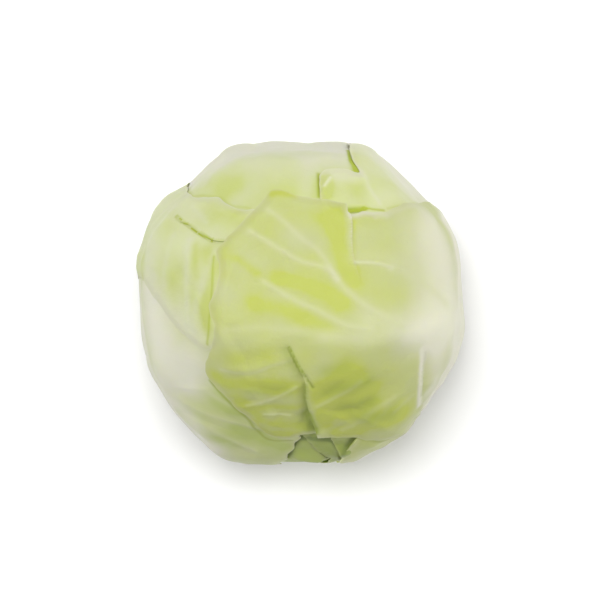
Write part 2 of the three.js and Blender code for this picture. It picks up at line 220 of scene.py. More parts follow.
def near_line(points, line):
    """For each flat point: its nearest point on the line, the distance, the way along, and the side."""
    start, span = line[:-1], line[1:] - line[:-1]
    length = np.maximum(np.linalg.norm(span, axis=1), NEARLY_NOTHING)
    begun = np.concatenate([[0], np.cumsum(length)[:-1]])
    nearest, distance, along, side = (np.empty((len(points), 2)), *(np.empty(len(points)) for _ in range(3)))
    for first in range(0, len(points), BATCH):
        some = slice(first, first + BATCH)
        offset = points[some, None] - start
        share = np.clip((offset * span).sum(-1) / length ** 2, 0, 1)
        away = ((offset - share[..., None] * span) ** 2).sum(-1)
        best = away.argmin(1)
        row = np.arange(len(best))
        nearest[some] = start[best] + share[row, best, None] * span[best]
        distance[some] = np.sqrt(away[row, best])
        along[some] = begun[best] + share[row, best] * length[best]
        side[some] = np.sign(span[best, 0] * offset[row, best, 1] - span[best, 1] * offset[row, best, 0])
    return nearest, distance, along, side


def near_edge(points, edge):
    """As near_line for a closed edge, but with no side, and with the distance negative inside it."""
    ring = np.concatenate([edge, edge[:1]])
    nearest, distance, along, _ = near_line(points, ring)
    inside = np.zeros(len(points), bool)
    for start, end in zip(ring, ring[1:]):
        crosses = (start[1] > points[:, 1]) != (end[1] > points[:, 1])
        rise = end[1] - start[1] if end[1] != start[1] else 1.0
        crossing = (end[0] - start[0]) * (points[:, 1] - start[1]) / rise + start[0]
        inside ^= crosses & (points[:, 0] < crossing)
    return nearest, np.where(inside, -distance, distance), along


def smoothstep(value, low, high):
    share = np.clip((value - low) / (high - low), 0, 1)
    return share * share * (3 - 2 * share)


NOISE_WAVES = 18
NOISE_SPREAD = (0.7, 1.5)  # shortest and longest wave, as shares of the wavelength asked for
NOISE_LEVEL = 0.75


def soft_noise(points, wavelength, seed):
    """Smooth irregular relief over flat points, mostly from -1 to 1."""
    draw = np.random.default_rng(seed)
    total = np.zeros(len(points))
    for _ in range(NOISE_WAVES):
        heading = draw.uniform(0, math.tau)
        pitch = math.tau / (wavelength * draw.uniform(*NOISE_SPREAD))
        wave = points[:, 0] * math.cos(heading) + points[:, 1] * math.sin(heading)
        total += np.cos(wave * pitch + draw.uniform(0, math.tau))
    return total / math.sqrt(NOISE_WAVES) * NOISE_LEVEL


PATCH_LEAST = 0.55  # the deep green is at least this strong where the leaf is mottled,
PATCH_RANGE = 0.9  # and stronger by up to this much
DULL_RANGE = 0.16  # how much the roughness varies with the same mottle
SPECK_HEIGHT = 0.25  # heights of the specks and of the softer grain, as shares of the whole relief
GRAIN_HEIGHT = 0.6


def build_leaf_tissue():
    """The tints, painted shade among them, and the roughness and fine relief that every leaf shares."""
    group = bpy.data.node_groups.new("leaf tissue", "ShaderNodeTree")
    sides = group.interface
    for socket in ("Blade", "Deep", "Pale", "White", "Crease"):
        sides.new_socket(socket, in_out="INPUT", socket_type="NodeSocketColor")
    sides.new_socket("Dullness", in_out="INPUT", socket_type="NodeSocketFloat")
    sides.new_socket("Color", in_out="OUTPUT", socket_type="NodeSocketColor")
    for socket in ("Roughness", "Height"):
        sides.new_socket(socket, in_out="OUTPUT", socket_type="NodeSocketFloat")
    nodes, links = group.nodes, group.links
    given, out = nodes.new("NodeGroupInput"), nodes.new("NodeGroupOutput")
    place = nodes.new("ShaderNodeTexCoord")

    def noise(scale, detail):
        node = nodes.new("ShaderNodeTexNoise")
        set_inputs(node, Scale=scale, Detail=detail)
        links.new(place.outputs["Object"], node.inputs["Vector"])
        return node.outputs["Fac"]

    def attribute(name):
        node = nodes.new("ShaderNodeAttribute")
        node.attribute_name = name
        return node.outputs["Fac"]

    def math_node(kind, first, second):
        node = nodes.new("ShaderNodeMath")
        node.operation = kind
        for socket, value in zip(node.inputs, (first, second)):
            if isinstance(value, (int, float)):
                socket.default_value = value
            else:
                links.new(value, socket)
        return node.outputs["Value"]

    mottle = noise(scale=120, detail=4)
    mottled = math_node("ADD", math_node("MULTIPLY", mottle, PATCH_RANGE), PATCH_LEAST)
    tint = given.outputs["Blade"]
    # the last tint is painted shade: dark green laid in gaps, creases and under lifted edges
    for factor, colour in ((math_node("MULTIPLY", attribute("deep"), mottled), "Deep"),
                           (attribute("white"), "White"), (attribute("pale"), "Pale"),
                           (attribute("painted_shade"), "Crease")):
        node = nodes.new("ShaderNodeMix")
        node.data_type = "RGBA"
        links.new(factor, node.inputs["Factor"])
        links.new(tint, node.inputs["A"])
        links.new(given.outputs[colour], node.inputs["B"])
        tint = node.outputs["Result"]
    links.new(tint, out.inputs["Color"])
    rough = math_node("ADD", given.outputs["Dullness"], math_node("MULTIPLY", mottle, DULL_RANGE))
    links.new(rough, out.inputs["Roughness"])
    specks = math_node("MULTIPLY", noise(scale=1400, detail=3), SPECK_HEIGHT)
    grain = math_node("MULTIPLY", noise(scale=420, detail=3), GRAIN_HEIGHT)
    links.new(math_node("ADD", specks, grain), out.inputs["Height"])
    return group


leaf_tissue = build_leaf_tissue()


def leaf_skin(name, blade, deep, pale, white, painted_shade_colour=(0.34, 0.40, 0.04)):
    """Leaf flesh: waxy skin over thin pale tissue. The leaf's own attributes place its five tints, the last
    of them painted shade in gaps and under edges.
    """
    material = bpy.data.materials.new(name)
    material.use_nodes = True
    nodes, links = material.node_tree.nodes, material.node_tree.links
    skin = nodes["Principled BSDF"]
    set_inputs(skin, Subsurface_Weight=0.35, Subsurface_Radius=(0.003, 0.004, 0.0012),
               Subsurface_Scale=1.0, IOR=1.4, Specular_IOR_Level=0.35)
    tissue = nodes.new("ShaderNodeGroup")
    tissue.node_tree = leaf_tissue
    set_inputs(tissue, Blade=(*blade, 1), Deep=(*deep, 1), Pale=(*pale, 1), White=(*white, 1),
               Crease=(*painted_shade_colour, 1), Dullness=0.45)
    bump = nodes.new("ShaderNodeBump")
    set_inputs(bump, Strength=0.5, Distance=0.0006)
    links.new(tissue.outputs["Color"], skin.inputs["Base Color"])
    links.new(tissue.outputs["Roughness"], skin.inputs["Roughness"])
    links.new(tissue.outputs["Height"], bump.inputs["Height"])
    links.new(bump.outputs["Normal"], skin.inputs["Normal"])
    return material


LEAF_GAP = 0.12  # clear space between a leaf and the next one out
BLADE = 1.1  # usual thickness of a leaf blade
EYE_HEIGHT = 3070.0  # the outlines are drawn as they look from this height,
EYE_LEVEL = 125.0  # to scale at this one
FIRST_WRAPPED = 4.0  # first guess at the depth of the leaves over the closed head
WRAPPED_ROUNDS = 3  # times that this guess is bettered
HALVINGS = 20  # steps of the search for a place on the head
laid = []  # the layers on the head so far, innermost first


def ground(directions):
    """How far the head reaches in each direction, with every leaf laid so far."""
    radius = head_radius(directions)
    for rise in laid:
        radius = radius + rise(directions)
    return radius


def crown(x, y):
    """The direction of the point on the head, as wrapped so far, that lies at x, y seen from above."""
    azimuth, reach = math.degrees(math.atan2(y, x)), math.hypot(x, y)
    wrapped = FIRST_WRAPPED
    for _ in range(WRAPPED_ROUNDS):
        low, high = 0.0, 90.0
        for _ in range(HALVINGS):
            polar = (low + high) / 2
            place = flank(azimuth, polar)
            radius = head_radius(place) + wrapped
            seen = (EYE_HEIGHT - EYE_LEVEL) / (EYE_HEIGHT - MIDDLE[2] - radius * place[2])
            if radius * math.hypot(*place[:2]) * seen < reach:
                low = polar
            else:
                high = polar
        wrapped = (ground(place[None]) - head_radius(place[None]))[0] + LEAF_GAP + BLADE
    return place


NET_LEVEL = 7
NET_CELL = 1.7  # longest edge of the net on the head
FINE_ABOVE = 0.03  # and the net is twice as fine above this height, as a share of the head's radius
FINE_MARGIN = 0.04  # all points this much higher belong to the fine part


def build_net():
    """One fine net of directions for every leaf, finer still above the widest part of the head."""
    net = bmesh.new()
    bmesh.ops.create_icosphere(net, subdivisions=NET_LEVEL, radius=1)
    fine = {edge for face in net.faces if face.calc_center_median().z > FINE_ABOVE for edge in face.edges}
    bmesh.ops.subdivide_edges(net, edges=list(fine), cuts=1, use_grid_fill=True)
    bmesh.ops.triangulate(net, faces=net.faces)
    mesh = bpy.data.meshes.new("net")
    net.to_mesh(mesh)
    net.free()
    directions = np.empty(len(mesh.vertices) * 3)
    mesh.vertices.foreach_get("co", directions)
    directions = directions.reshape(-1, 3)
    faces = np.empty(len(mesh.polygons) * 3, int)
    mesh.polygons.foreach_get("vertices", faces)
    return mesh, directions / np.linalg.norm(directions, axis=1, keepdims=True), faces.reshape(-1, 3)


NET_MESH, NET_DIRECTIONS, NET_FACES = build_net()

EDGE_STEP = 1.2  # spacing of the points along a leaf's edge,
COARSE_STRIDE = 3  # of which every third makes the coarse edge
TREMORS = 6  # number of slow and of quick tremors in a leaf's edge
SLOW_TREMORS = (10, 32)  # range of how often each comes and goes on the way round
QUICK_TREMORS = (40, 95)
QUICK_LOWER = 3  # a quick tremor is this many times lower than a slow one
TREMOR_LEVEL = 0.5  # height of a slow one, as a share of the leaf's raggedness


def ragged_edge(corners, draw, ragged):
    """A leaf's closed outline through its corners, with an irregular tremor as high as ragged says."""
    outline = smooth_line(corners, EDGE_STEP, closed=True)
    way = np.linspace(0, 1, len(outline), endpoint=False)
    counts = [*draw.integers(*SLOW_TREMORS, TREMORS), *draw.integers(*QUICK_TREMORS, TREMORS)]
    tremor = sum(np.cos(math.tau * (count * way + draw.uniform()))
                 / (1 if count < QUICK_TREMORS[0] else QUICK_LOWER) for count in counts) * TREMOR_LEVEL
    outward = np.roll(outline, -1, 0) - np.roll(outline, 1, 0)
    outward = np.stack([outward[:, 1], -outward[:, 0]], 1) / np.linalg.norm(outward, axis=1, keepdims=True)
    return outline + ragged * tremor[:, None] * outward


TEAR_STEP = 1.5  # spacing of the points along a tear
TEAR_OPENING = 1.6  # a tear is fully open once past 1 / this of its length
TEAR_BAND = 1.15  # points this near a tear move to its lips, as a share of the net's cell
EDGE_TRIM = 0.3  # and the points this near the leaf's edge move to that edge
LOWER_SHORT = 0.1  # how much less the lower lip reaches across than the upper one
LIP_STEP = 0.5  # usual height to which the upper lip rises at a tear,
UPPER_RUN = 3.0  # and the distance over which it comes down again
LOWER_DIP = 1.2  # depth to which the lower lip dips, as a share of that height,
LOWER_RUN = 3.5  # and the distance over which it comes up again
LIP_WHITE_AND_HIGHLIGHT = 0.7  # usual whiteness of the upper lip, from pale torn flesh and a painted highlight, and how far in it runs
LIP_WIDTH = 0.8  # and how far in it runs


def open_tears(tears, flatten, points, cell, nearest, outside):
    """Parts a flat leaf along its tears, whose lips overlap.

    The left lip lies on top where a tear's over is 1, and the right one where it is -1. Gives the points
    that stay where they are, the place of the others on an edge or a lip, and for all points how far they
    are lifted and how much they are whitened, for pale torn flesh and a painted highlight along the upper
    lip.
    """
    free = outside < -EDGE_TRIM * cell
    target = nearest.copy()
    lift = np.zeros(len(points))
    lip_white_and_highlight = np.zeros(len(points))
    for tear in tears:
        line = smooth_line(flatten(np.array(tear["path"])), TEAR_STEP)
        lip, distance, way, side = near_line(points, line)
        opened = np.minimum(1, way / line_length(line) * TEAR_OPENING)
        band = (distance < TEAR_BAND * cell) & (outside < 0)
        over = side == tear["over"]
        heading = points - lip
        heading /= np.maximum(np.linalg.norm(heading, axis=1, keepdims=True), NEARLY_NOTHING)
        shift = np.where(over, -tear["overlap"], LOWER_SHORT - tear["overlap"]) * opened
        target[band] = (lip + heading * shift[:, None])[band]
        free &= ~band
        step = tear.get("step", LIP_STEP)
        raised = opened * (tear["lift"] * np.clip(1 - distance / tear["reach"], 0, 1) ** 2
                           + step * np.exp(-(distance / UPPER_RUN) ** 2))
        lift += np.where(over, raised, -LOWER_DIP * step * opened * np.exp(-(distance / LOWER_RUN) ** 2))
        # the upper lip is whitened: pale torn flesh, and a painted highlight along the lip
        lip_white_and_highlight += np.where(over, tear.get("lip", LIP_WHITE_AND_HIGHLIGHT) * opened * np.exp(-distance / LIP_WIDTH), 0)
    return free, target, lift, lip_white_and_highlight


MARK_STEP = 2.0  # spacing of the points along a mark
MARK_REACH = 2.6  # a mark has faded out at this many times its width


def draw_marks(marks, flatten, points, tints):
    """Adds soft strokes to a flat leaf's tints and folds.

    A mark holds its kind, width and amount, and then the points that it runs through, seen from above.
    Its kind is one of the leaf's tints, painted shade among them, or a fold, which stands up or is pressed
    in by its amount.
    """
    for kind, width, amount, *path in marks:
        line = smooth_line(flatten(np.array([crown(x, y) for x, y in path])), MARK_STEP)
        middle = (line.max(0) + line.min(0)) / 2
        close = (np.abs(points - middle) < np.ptp(line, 0) / 2 + MARK_REACH * width).all(1)
        if close.any():
            _, distance, _, _ = near_line(points[close], line)
            tints[kind][close] += amount * np.exp(-(distance / width) ** 2)


MERGE = 0.04  # points of a leaf's edge that lie this close become one


def cut_from_net(name, kept, used, places, values):
    """The kept faces of the net as a leaf's mesh, with its points at their places in metres."""
    mesh = NET_MESH.copy()
    mesh.name = name
    corners = np.zeros((len(NET_DIRECTIONS), 3))
    corners[used] = places
    mesh.vertices.foreach_set("co", corners.ravel())
    for key, of_points in values.items():
        column = np.zeros(len(NET_DIRECTIONS))
        column[used] = of_points
        mesh.attributes.new(key, "FLOAT", "POINT").data.foreach_set("value", column)
    sheet = bmesh.new()
    sheet.from_mesh(mesh)
    waste = [face for face, keep in zip(sheet.faces, kept) if not keep]
    bmesh.ops.delete(sheet, geom=waste, context="FACES")
    bmesh.ops.remove_doubles(sheet, verts=sheet.verts, dist=MERGE * MM)
    for edge in sheet.edges:
        edge.smooth = not edge.is_boundary
    flesh = sheet.verts.layers.float["flesh"]
    weight = sheet.verts.layers.deform.verify()
    for vert in sheet.verts:
        vert[weight][0] = vert[flesh]
    sheet.to_mesh(mesh)
    sheet.free()
    return mesh


THIN_EDGE = 0.35  # thickness of a blade at its edge, as a share of its full thickness,
EDGE_BAND = 5  # and the distance over which it thins out
RIB_STEP = 3.0  # spacing of the points along a rib
RIB_NARROWS = 0.6  # share of its width that a rib loses on the way to its tip
RIB_FALL = 1.5  # power by which its height falls on that way
EDGE_LEVEL = 0.4  # middle height of the waves along a leaf's edge, as a share of the leaf's own wave,
EDGE_WAVES = ((0.35, 9.0), (0.25, 4.3))  # the height of each, also as a share, and the distance per radian
WAVE_REACH = 7.0  # and how far in from the edge they run
BLANKET = (0.8, 20)  # past this leaf's edge, the next one out comes down between these distances
BLANKET_SEARCH = 22  # and this leaf isn't looked at further out than this
DEEP_LEVEL = 0.3  # how deep the green is, by itself,
DEEP_SPREAD = 0.25  # how much this varies,
DEEP_PATCH = 24  # from patch to patch of this size,
DEEP_MOST = 1.3  # and the most that it gets with the marks
DEEP_SEED = 9  # added to the leaf's own seed
RIM_PALE_AND_HIGHLIGHT = 0.55  # paleness of the very edge: thin pale flesh, and a painted highlight where the edge catches the light
RIM_HIGHLIGHT_WIDTH = 0.7
PUCKER = 0.3  # height of the soft puckers all over the blade
PUCKER_PATCH = 17
PUCKER_EDGE = 8  # distance from the edge at which they are at full height
PUCKER_SEED = 5


def lay_leaf(name, middle, edge, rib, marks, finish, seed, tears=(), base_reach=(80, 140), wave=0.5,
             blade=BLADE, ragged=0.5):
    """Cuts one leaf from the net of directions, wraps it over what is laid so far, and thickens it.

    The leaf is white at its base, up to the first distance in base_reach, and no more at the second. Its
    wave, its blade and its raggedness are heights in millimetres.
    """
    flatten, wrap = leaf_chart(middle)
    draw = np.random.default_rng(seed)
    outline = ragged_edge(flatten(np.array(edge)), draw, ragged)
    coarse = outline[::COARSE_STRIDE]
    rib_line = smooth_line(flatten(np.array(rib["path"])), RIB_STEP)
    rib_length = line_length(rib_line)
    wave_starts = draw.uniform(0, math.tau, len(EDGE_WAVES))

    def to_edge(points):
        nearest, outside, along = near_edge(points, coarse)
        close = np.abs(outside) < EDGE_BAND
        if close.any():
            nearest[close], outside[close], fine_along = near_edge(points[close], outline)
            along[close] = fine_along * (way_round(coarse) / way_round(outline))
        return nearest, outside, along

    def leaf_thickness(points, outside):
        _, distance, along, _ = near_line(points, rib_line)
        share = along / rib_length
        width = rib["width"] * (1 - RIB_NARROWS * share)
        rib_rise = rib["height"] * np.clip(1 - share, 0, 1) ** RIB_FALL * np.exp(-(distance / width) ** 2)
        return blade * (THIN_EDGE + (1 - THIN_EDGE) * smoothstep(-outside, 0, EDGE_BAND)) + rib_rise

    def edge_wave(outside, along):
        crest = EDGE_LEVEL
        for (height, pace), start in zip(EDGE_WAVES, wave_starts):
            crest = crest + height * np.sin(along / pace + start)
        return wave * np.clip(crest, 0, None) * np.exp(-(np.minimum(outside, 0) / WAVE_REACH) ** 2)

    def rise(directions):
        points = flatten(directions)
        total = np.zeros(len(directions))
        close = np.linalg.norm(points, axis=1) < np.linalg.norm(coarse, axis=1).max() + BLANKET_SEARCH
        if close.any():
            _, outside, along = near_edge(points[close], coarse)
            layer = leaf_thickness(points[close], outside) + (LEAF_GAP + edge_wave(outside, along))
            total[close] = layer * (1 - smoothstep(outside, *BLANKET))
        return total

    points = flatten(NET_DIRECTIONS)
    cell = np.where(NET_DIRECTIONS[:, 2] > FINE_ABOVE + FINE_MARGIN, NET_CELL / 2, NET_CELL)
    nearest, outside, _ = to_edge(points)
    free, target, lift, lip_white_and_highlight = open_tears(tears, flatten, points, cell, nearest, outside)
    kept = free[NET_FACES].any(axis=1)
    used = np.unique(NET_FACES[kept])
    points = np.where(free[:, None], points, target)[used]
    directions = wrap(points)
    _, outside, along = to_edge(points)

    base_distance = np.linalg.norm(points - rib_line[0], axis=1)
    tints = {
        "white": 1 - smoothstep(base_distance, *base_reach),
        "pale": np.zeros(len(points)),
        "deep": DEEP_LEVEL + DEEP_SPREAD * soft_noise(points, DEEP_PATCH, seed + DEEP_SEED),
        # painted shade, laid by the marks along gaps, creases and under lifted edges
        "painted_shade": np.zeros(len(points)),
        "fold": np.zeros(len(points)),
    }
    draw_marks(marks, flatten, points, tints)
    fold = tints.pop("fold")
    # the whitening of the upper lips, partly a painted highlight, joins the white tint
    tints["white"] = np.clip(tints["white"] + lip_white_and_highlight[used], 0, 1)
    tints["deep"] = np.clip(tints["deep"], 0, DEEP_MOST) * (1 - tints["white"])
    # the very edge is paled, partly as a painted highlight along the rim
    rim_pale_and_highlight = RIM_PALE_AND_HIGHLIGHT * np.exp(np.minimum(outside, 0) / RIM_HIGHLIGHT_WIDTH)
    tints["pale"] = np.clip(tints["pale"] + rim_pale_and_highlight, 0, 1)

    thickness = leaf_thickness(points, outside)
    thickest = thickness.max()
    radius = ground(directions) + LEAF_GAP + thickness + edge_wave(outside, along) + lift[used]
    puckers = PUCKER * soft_noise(points, PUCKER_PATCH, seed + PUCKER_SEED)
    radius += fold + puckers * smoothstep(-outside, 0, PUCKER_EDGE)
    mesh = cut_from_net(name, kept, used, (MIDDLE + directions * radius[:, None]) * MM,
                        {**tints, "flesh": thickness / thickest})
    leaf = new_piece(name, mesh, finish)
    leaf.vertex_groups.new(name="flesh")
    solidify = leaf.modifiers.new("leaf thickness", "SOLIDIFY")
    solidify.thickness = thickest * MM
    solidify.offset = -1
    solidify.vertex_group = "flesh"
    laid.append(rise)
    return leaf


BALL_LEVEL = 6
BALL_SUNK = 0.4  # the ball lies this far under the closed head's own radius

ball = bmesh.new()
bmesh.ops.create_icosphere(ball, subdivisions=BALL_LEVEL, radius=1)
ball_directions = np.array([vert.co for vert in ball.verts])
ball_directions /= np.linalg.norm(ball_directions, axis=1, keepdims=True)
ball_radius = head_radius(ball_directions) - BALL_SUNK
for vert, place in zip(ball.verts, (MIDDLE + ball_directions * ball_radius[:, None]) * MM):
    vert.co = place
mesh = bpy.data.meshes.new("inner_ball")
ball.to_mesh(mesh)
ball.free()
inner_finish = leaf_skin("inner leaf", blade=(0.34, 0.4, 0.11), deep=(0.28, 0.34, 0.07),
                         pale=(0.41, 0.45, 0.17), white=(0.45, 0.48, 0.24), painted_shade_colour=(0.19, 0.24, 0.06))
inner_ball = new_piece("inner_ball", mesh, inner_finish)
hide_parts("inner_head")

# The darkest strokes on these leaves are painted shade, in the gap under the wrapper leaves' edges.
inner_leaves = {
    "inner_leaf_left": dict(
        middle=flank(266, 105),
        edge=[flank(255, 150), flank(244, 125), crown(-26, -76), crown(-20, -64), crown(-8, -56),
              crown(0, -58), crown(3.5, -71.7), crown(11.5, -79.7), crown(15.8, -82.4),
              flank(283, 105), flank(286, 130), flank(280, 152)],
        rib={"path": [flank(266, 150), flank(262, 110), crown(-6, -70)], "height": 1.5, "width": 9},
        marks=[("painted_shade", 2.0, 1.5, (-0.5, -69), (-4, -74.5), (-7, -80.5)),
               ("painted_shade", 1.2, 1.2, (3, -70), (7, -74.5), (11.5, -79), (16, -82)),
               ("painted_shade", 2.0, 1.1, (-0.5, -71), (6, -71.5)),
               ("fold", 2.2, -1.5, (-1.5, -70), (-5, -75.5), (-7, -81)),
               ("fold", 5, 2.6, (2, -80.5), (9, -81.5))],
    ),
    "inner_leaf_middle": dict(
        middle=flank(292, 100),
        edge=[flank(282, 154), flank(273, 136), flank(274, 114), crown(15.8, -83.6), crown(11.5, -79.7),
              crown(3.5, -71.7), crown(-1.3, -62), crown(8, -54), crown(26, -58), crown(38, -70),
              flank(305, 110), flank(302, 145)],
        rib={"path": [flank(294, 150), flank(292, 110), crown(18, -66)], "height": 1.5, "width": 9},
        marks=[("painted_shade", 1.6, 1.3, (15.5, -69.5), (19, -75), (22, -77.5)),
               ("painted_shade", 2.2, 1.3, (5, -71.5), (11.5, -72), (17, -72)),
               ("deep", 5, 0.8, (10, -75), (17.5, -80.5))],
    ),
    "inner_leaf_right": dict(
        middle=flank(302, 100),
        edge=[flank(300, 154), flank(289, 138), flank(286, 116), crown(22.6, -81), crown(19.5, -76.5),
              crown(16.3, -71.2), crown(13, -62), crown(24, -54), crown(44, -60), flank(312, 96),
              flank(316, 140)],
        rib={"path": [flank(307, 150), flank(302, 110), crown(30, -64)], "height": 1.5, "width": 9},
        marks=[("painted_shade", 1.6, 0.8, (28, -70.5), (23.5, -76), (19, -82.5)),
               ("fold", 5, 2.6, (17, -81), (21.5, -78.5)),
               ("deep", 5, 1.0, (18.5, -74.5), (19, -81)),
               ("pale", 4, 0.3, (19, -71), (24, -72))],
    ),
}
for seed, (name, shape) in enumerate(inner_leaves.items(), start=40):
    inner_leaf = lay_leaf(name, finish=inner_finish, seed=seed, base_reach=(5, 45), wave=0.9, **shape)
    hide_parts("inner_head")


# ---------------------------------------------------------------- wrapper leaf at the lower right
# A wrapper leaf that grows from the stem at the lower right. Its curled left edge stands beside the gap,
# and its upper part is tucked under the outermost leaf.

lower_right_leaf = lay_leaf(
    "wrapper_lower_right",
    middle=flank(312, 100),
    edge=[flank(308, 161), flank(302, 147), flank(291, 125), flank(284.5, 104), crown(20.5, -84.5),
          crown(23.8, -78.1), crown(28.6, -71.7), crown(33, -62), crown(45, -49), crown(58, -41),
          crown(69, -38), flank(334, 95), flank(334, 130), flank(326, 161)],
    rib={"path": [flank(316, 161), flank(312, 120), flank(309, 95), crown(44, -58)], "height": 3,
         "width": 13},
    marks=[("fold", 1.6, 1.3, (28, -71), (24, -76.5), (19.5, -83.5)),
           ("pale", 1.4, 0.7, (30.5, -72), (26.5, -77.5), (22.5, -83)),
           # painted shade beside the curled edge and under the outermost leaf's edge
           ("painted_shade", 1.0, 1.0, (27, -72), (23, -78), (19, -83)),
           ("painted_shade", 1.6, 0.6, (29, -70.5), (37.5, -72), (48, -71), (58.5, -65.5)),
           ("deep", 6, 0.5, (34, -75), (44.5, -74)),
           ("pale", 1.5, 0.4, (27, -80.5), (37.5, -76.5), (48, -72))],
    finish=leaf_skin("lower right leaf", blade=(0.432, 0.48, 0.13), deep=(0.367, 0.432, 0.08),
                     pale=(0.5, 0.529, 0.24), white=(0.51, 0.53, 0.28), painted_shade_colour=(0.25, 0.3, 0.03)),
    seed=3,
    wave=0.9,
)
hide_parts("lower_right_leaf")


# ---------------------------------------------------------------- wrapper leaf at the lower left
# A broad leaf with a thick white base at the left. Its green blade runs round the lower left of the head
# and ends at the gap.

bottom_left_leaf = lay_leaf(
    "wrapper_lower_left",
    middle=flank(205, 95),
    edge=[flank(178, 161), flank(163, 140), flank(158, 110), crown(-81, 26), crown(-70, 21),
          crown(-54, 7), crown(-40, -9), crown(-32, -23), crown(-24, -38), crown(-15, -54),
          crown(-5.6, -65), crown(-0.3, -71.2), crown(-2.9, -74.4), crown(-5, -79.2), crown(-7.2, -82),
          flank(262, 101), flank(256, 128), flank(240, 148), flank(208, 161)],
    rib={"path": [flank(193, 161), flank(194, 125), flank(197, 100), crown(-76, -36), crown(-62, -38),
                  crown(-44, -37)], "height": 4.5, "width": 16},
    marks=[("white", 18, 1.0, (-79, 7), (-76.5, -14), (-68.5, -30), (-59, -33)),
           ("white", 7, 0.5, (-73, -40.5), (-59, -44.5)),
           ("white", 8, 0.9, (-83.5, -14), (-80, -35), (-71, -52), (-58, -66.5), (-46.5, -76)),
           ("white", 8, 0.7, (-75, -43), (-65.5, -53.5), (-55.5, -64.5)),
           ("deep", 6, 1.0, (-50, -45.5), (-44.5, -51), (-37, -55)),
           ("deep", 5, 0.7, (-46.5, -43), (-39, -50), (-30.5, -57.5)),
           ("fold", 6, 1.2, (-80.5, -34.5), (-79, -38.5)),
           ("fold", 6, 1.1, (-74.5, -32), (-70, -39)),
           ("deep", 6, 0.9, (-33, -65.5), (-20, -72), (-9.5, -75)),
           ("deep", 7, 0.45, (-55, -60.5), (-39.5, -74.5)),
           ("pale", 2.2, 0.35, (-63.5, -51), (-51, -57.5), (-37.5, -62), (-24, -65.5)),
           ("fold", 2.4, 0.5, (-63.5, -51), (-51, -57.5), (-37.5, -62), (-20, -66)),
           ("fold", 2.2, -0.45, (-60, -58.5), (-47.5, -63.5), (-34, -68)),
           ("pale", 2.0, 0.35, (-47.5, -65.5), (-35, -72.5), (-24, -77.5)),
           ("fold", 2.4, 0.5, (-51, -63.5), (-35, -72.5), (-20, -79)),
           ("fold", 2.4, -0.5, (-38, -75), (-26.5, -80)),
           ("pale", 2, 0.35, (-48.5, -47), (-36, -54)),
           ("fold", 2, 0.3, (-67.5, -43.5), (-50, -45.5)),
           # painted shadow under the edge of the outermost leaf
           ("painted_shade", 0.9, 0.9, (-48, -41), (-38.5, -51.5), (-28, -61), (-20, -70), (-13.5, -72.5),
            (-4.5, -72.5))],
    finish=leaf_skin("lower left leaf", blade=(0.475, 0.508, 0.238), deep=(0.389, 0.454, 0.13),
                     pale=(0.54, 0.551, 0.356), white=(0.605, 0.607, 0.478), painted_shade_colour=(0.3, 0.35, 0.07)),
    base_reach=(95, 130),
    seed=4,
)
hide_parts("bottom_left_leaf")


# ---------------------------------------------------------------- wrapper leaf along the back
# A whitish leaf whose thick base stands behind the head. Only its lower half shows, because the outermost
# leaf and its neighbours cover its tip.

top_leaf = lay_leaf(
    "wrapper_back",
    middle=flank(100, 95),
    edge=[flank(88, 161), flank(68, 135), flank(62, 105), crown(40, 75), crown(34, 62), crown(21, 51),
          crown(5, 46), crown(-14, 42), crown(-32, 42), crown(-51, 47), crown(-65, 51), flank(146, 96),
          flank(140, 130), flank(120, 161)],
    rib={"path": [flank(103, 161), flank(100, 125), flank(98, 95), crown(-8, 62)], "height": 4, "width": 15},
    marks=[("white", 9, 0.8, (23.5, 80.5), (-0.5, 81.5), (-26.5, 80.5), (-39.5, 75)),
           ("white", 5, 0.25, (5, 73.5), (3, 62)),
           ("white", 7, 0.45, (2.5, 76), (22, 75.5)),
           ("white", 8, 0.25, (-26.5, 73.5), (-11, 72)),
           # The darkest strokes on this leaf are painted shade: a faint patch, the wedge beside the upper
           # right leaf, and lines under the edges of the leaves above.
           ("painted_shade", 8, 0.07, (-8, 69), (4, 62)),
           ("deep", 7, 0.9, (-39, 60.5), (-33, 63.5)),
           ("deep", 9, 0.7, (-47.5, 64.5), (-37, 73.5)),
           ("deep", 7, 0.15, (-20, 61.5), (-1.5, 64.5)),
           ("deep", 4, 0.5, (-13.5, 58.5), (-4.5, 58.5)),
           ("pale", 4, 0.4, (-50, 64.5), (-46.5, 72.5)),
           ("fold", 5, 0.5, (-45, 67.5), (-29, 75), (-5.5, 76)),
           ("fold", 6, -0.5, (-29, 62), (-0.5, 64.5)),
           ("painted_shade", 0.9, 1.3, (25, 80.5), (26, 76.5), (27, 74)),
           ("painted_shade", 2.3, 1.6, (28, 74.5), (29.5, 69.5)),
           ("fold", 7, 1.7, (9, 83.5), (19.5, 83.5)),
           ("fold", 8, 2.6, (-37, 79.5), (-29.5, 82)),
           ("painted_shade", 1.2, 0.9, (9.5, 68), (9.5, 56)),
           ("deep", 2.6, 0.4, (8, 65.5), (7.5, 55)),
           ("painted_shade", 1.4, 0.8, (-59.5, 59.5), (-58, 55.5)),
           ("painted_shade", 0.8, 0.35, (-57, 56), (-41.5, 55), (-37, 51.5), (-26.5, 49.5))],
    finish=leaf_skin("back leaf", blade=(0.508, 0.54, 0.302), deep=(0.454, 0.508, 0.162),
                     pale=(0.551, 0.562, 0.389), white=(0.562, 0.562, 0.432)),
    base_reach=(100, 155),
    seed=5,
)
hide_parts("top_leaf")


# ---------------------------------------------------------------- wrapper leaf at the upper right
# A leaf from the upper right whose torn left edge makes a wedge against the back leaf, with a small curl
# where the tear ends.

